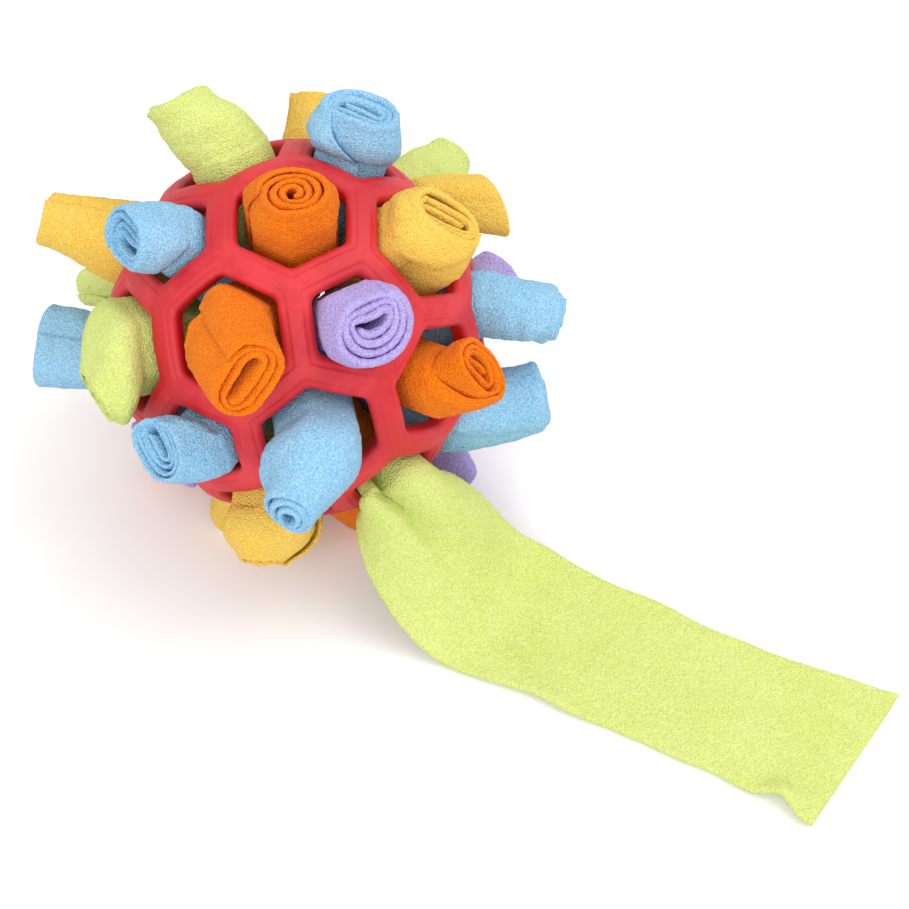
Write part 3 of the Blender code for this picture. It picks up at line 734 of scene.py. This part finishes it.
level = Vector((tail_hole.x, tail_hole.y, 0)).normalized()
grip = tail_hole * (BALL_RADIUS - GRIP_DEPTH / 2) + UP * tube_radius
collar = grip + level * TAIL_COLLAR
heading = Vector((math.cos(TAIL_HEADING), math.sin(TAIL_HEADING), 0))
landing = Vector((*TAIL_LANDING, STRIP_THICKNESS / 2 - ball_middle.z))

# The strip's ridge goes straight out of the hole, swings over to its heading and comes down to the floor
route = [grip - level * TAIL_TUCK]
for s in np.linspace(0, 1, TAIL_ROUTE_STEPS):
    place = (collar * (1 + 2 * s) * (1 - s) ** 2 + landing * (3 - 2 * s) * s ** 2
             + level * (TAIL_SWING_OUT * s * (1 - s) ** 2) - heading * (TAIL_SWING_IN * s ** 2 * (1 - s)))
    place.z = collar.z + (landing.z - collar.z) * float(smooth_step(s))
    route.append(place)
route = np.array(route + [landing + heading * STRIP_LENGTH])
run = np.concatenate([[0], np.cumsum(np.linalg.norm(np.diff(route, axis=0), axis=1))])
rows_at = with_edges(STRIP_LENGTH, TAIL_ROWS)
line = np.stack([np.interp(rows_at, run, route[:, k]) for k in range(3)], -1)
past_rim = np.clip(rows_at - TAIL_TUCK - TAIL_COLLAR, 0, None)
curls = np.exp(-past_rim / TAIL_SPREAD)
turning = smooth_step(past_rim / (run[-2] - TAIL_TUCK - TAIL_COLLAR))
ways = math.atan2(level.y, level.x) + (TAIL_HEADING - math.atan2(level.y, level.x)) * turning
# The rows lean by the ridge's slope, eased along the strip, so that no row's edges pass the next one's
nearness = np.exp(-((rows_at[:, None] - rows_at[None, :]) / TAIL_EASE) ** 2)
nearness /= nearness.sum(1)[:, None]
slope = nearness @ np.gradient(line[:, 2], rows_at)
gathered = min(STRIP_WIDTH, TAIL_TUBE_TURN * tube_radius)
drawn = smooth_step((rows_at - TAIL_DRAWN_FROM) / TAIL_DRAWN_EASE)
drawn *= 1 - smooth_step((rows_at - TAIL_DRAWN_TO) / TAIL_DRAWN_EASE)
widths = (STRIP_WIDTH + (gathered - STRIP_WIDTH) * curls) * (1 - TAIL_DRAWN_IN * drawn)
# The floor opens the arch, and the rows before it with it: its edges can't go lower than the strip lies
for r, place in enumerate(line):
    curls[r] = max(curls[r], TAIL_LEAST_CURL)
    room = (place[2] - landing.z) / math.sqrt(1 - slope[r] ** 2)
    while curls[r] > 2 * TAIL_LEAST_CURL and arch(curls[r], widths[r])[1].max() > room:
        curls[r] *= TAIL_OPENING_SHARE
curls = np.minimum(curls, nearness @ curls)
middles = np.zeros((len(rows_at), len(columns_at), 3))
for r, place in enumerate(line):
    room = place[2] - landing.z
    x, down = arch(curls[r], widths[r])
    for depth, wide, long, off in TAIL_FOLDS:
        folded = np.exp(-((columns_at - STRIP_WIDTH / 2 - off) / wide) ** 2)
        down = down + folded * bump_at((depth, 0, long), past_rim[r]) * min(1, room / TAIL_FOLD_ROOM)
    spread = bump_at(TAIL_NEAR_SPREAD, past_rim[r]) * smooth_step(past_rim[r] / TAIL_NEAR_SPREAD[1])
    x = np.where(x < 0, x * (1 + spread), x) + bump_at(TAIL_BULGE, rows_at[r])
    beside = np.array([-math.sin(ways[r]), math.cos(ways[r]), 0])
    upright = math.sqrt(1 - slope[r] ** 2)
    leaned = np.array([math.cos(ways[r]) * slope[r], math.sin(ways[r]) * slope[r], -upright])
    middles[r] = place + x[:, None] * beside + down[:, None] * leaned
middles += np.array(ball_middle)
resting = smooth_step((rows_at - TAIL_RIPPLE_FROM) / TAIL_RIPPLE_EASE)[:, None]
off_middle = (columns_at / STRIP_WIDTH * 2 - 1)[None, :]
ripple = (noise_at(middles, TAIL_RIPPLE_WAVE, 5) + TAIL_RIPPLE_LIFT).clip(0) * TAIL_RIPPLE
ripple = ripple * (TAIL_MIDDLE_SHARE + (1 - TAIL_MIDDLE_SHARE) * np.abs(off_middle) ** 3)
far_rise = bump_at(TAIL_FAR_RISE, rows_at)[:, None] * off_middle.clip(0) ** 1.5
near_edge = np.exp(-((off_middle + 1) / TAIL_NEAR_FOLD_SHARE) ** 2)
near_fold = bump_at(TAIL_NEAR_FOLD, rows_at)[:, None] * near_edge
middles[..., 2] += ripple * resting + far_rise + near_fold
wander = noise_at(middles, TAIL_EDGE_WAVE, 8) * TAIL_EDGE_WANDER * np.abs(off_middle) ** 5
sideways = wander * resting + near_fold * TAIL_NEAR_FOLD_LEAN
slanted = smooth_step((rows_at - TAIL_SLANT_FROM) / (STRIP_LENGTH - TAIL_SLANT_FROM))
endways = off_middle * TAIL_END_SLANT * slanted[:, None]
last_beside = np.array([-heading.y, heading.x, 0])
middles += sideways[..., None] * last_beside + endways[..., None] * np.array(heading)
normals = np.cross(np.gradient(middles, axis=0), np.gradient(middles, axis=1))
normals /= np.linalg.norm(normals, axis=-1, keepdims=True)
thick = STRIP_THICKNESS * (1 - TAIL_PINCH * curls[:, None]) * np.ones_like(ripple)
tail = cloth_sheet("lime_tail_strip", middles, normals, thick, rows_at, columns_at, "lime_tail",
                   cloths["lime"])
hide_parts("lime_tail")

# The floor and the studio. A plain white sweep under soft light from above, and the camera where the
# photographer stood: in front of the toy, looking down on it at fifty degrees below the horizon.
FLOOR_SIZE = 6.0
CAMERA_FROM_BALL = (0.0415, -0.3326, 0.3446)
CAMERA_DOWN = math.radians(50)
CAMERA_LENS_MM = 71.3
CAMERA_SENSOR_MM = 36
CAMERA_NEAREST = 0.01
WORLD_LIGHT = 0.9
FLOOR_ROUGHNESS = 0.9
# The floor is white to the camera and a little greyer to the light that it gives back to the toy
FLOOR_SEEN = (1.0, 1.0, 1.0, 1)
FLOOR_BOUNCE = (0.80, 0.80, 0.82, 1)

half = FLOOR_SIZE / 2
floor_corners = [(-half, -half, 0), (half, -half, 0), (half, half, 0), (-half, half, 0)]
floor_mesh = bpy.data.meshes.new("floor")
floor_mesh.from_pydata(floor_corners, [], [(0, 1, 2, 3)])
floor = bpy.data.objects.new("floor", floor_mesh)
bpy.context.scene.collection.objects.link(floor)
white, shader, place = new_material("white_floor")
rays = place.node("ShaderNodeLightPath", output="Is Camera Ray")
feed(shader, "Base Color", rays.mixed(FLOOR_BOUNCE, FLOOR_SEEN))
shader.inputs["Roughness"].default_value = FLOOR_ROUGHNESS
shader.inputs["Specular IOR Level"].default_value = 0.0
floor_mesh.materials.append(white)

world = bpy.data.worlds.new("studio")
bpy.context.scene.world = world
world.use_nodes = True
sky = world.node_tree.nodes["Background"]
seen = Shade(world.node_tree).node("ShaderNodeLightPath", output="Is Camera Ray")
glossy = seen.node("ShaderNodeLightPath", output="Is Glossy Ray")
through = seen.node("ShaderNodeLightPath", output="Is Transmission Ray")
shown = seen.node("ShaderNodeClamp", {"Value": seen + glossy + through})
sky.inputs["Color"].default_value = (1, 1, 1, 1)
world.node_tree.links.new((WORLD_LIGHT + shown * (1 - WORLD_LIGHT)).socket, sky.inputs["Strength"])


def soft_box(name, place, size, power):
    """A square lamp behind a diffuser, pointed at the ball."""
    lamp = bpy.data.lights.new(name, "AREA")
    lamp.shape = "SQUARE"
    lamp.size = size
    lamp.energy = power
    box = bpy.data.objects.new(name, lamp)
    box.location = ball_middle + Vector(place)
    box.rotation_mode = "QUATERNION"
    box.rotation_quaternion = (-Vector(place)).to_track_quat("-Z", "Y")
    bpy.context.scene.collection.objects.link(box)


soft_box("key_lamp", place=(0.5, 0.1, 0.9), size=0.8, power=4.2)
soft_box("front_lamp", place=(-0.2, -1.0, 0.6), size=0.9, power=5.4)

camera = bpy.data.objects.new("camera", bpy.data.cameras.new("camera"))
camera.data.lens = CAMERA_LENS_MM
camera.data.sensor_width = CAMERA_SENSOR_MM
camera.data.clip_start = CAMERA_NEAREST
camera.location = ball_middle + Vector(CAMERA_FROM_BALL)
camera.rotation_euler = (math.pi / 2 - CAMERA_DOWN, 0, 0)
bpy.context.scene.collection.objects.link(camera)
bpy.context.scene.camera = camera
bpy.context.scene.view_settings.view_transform = "Standard"
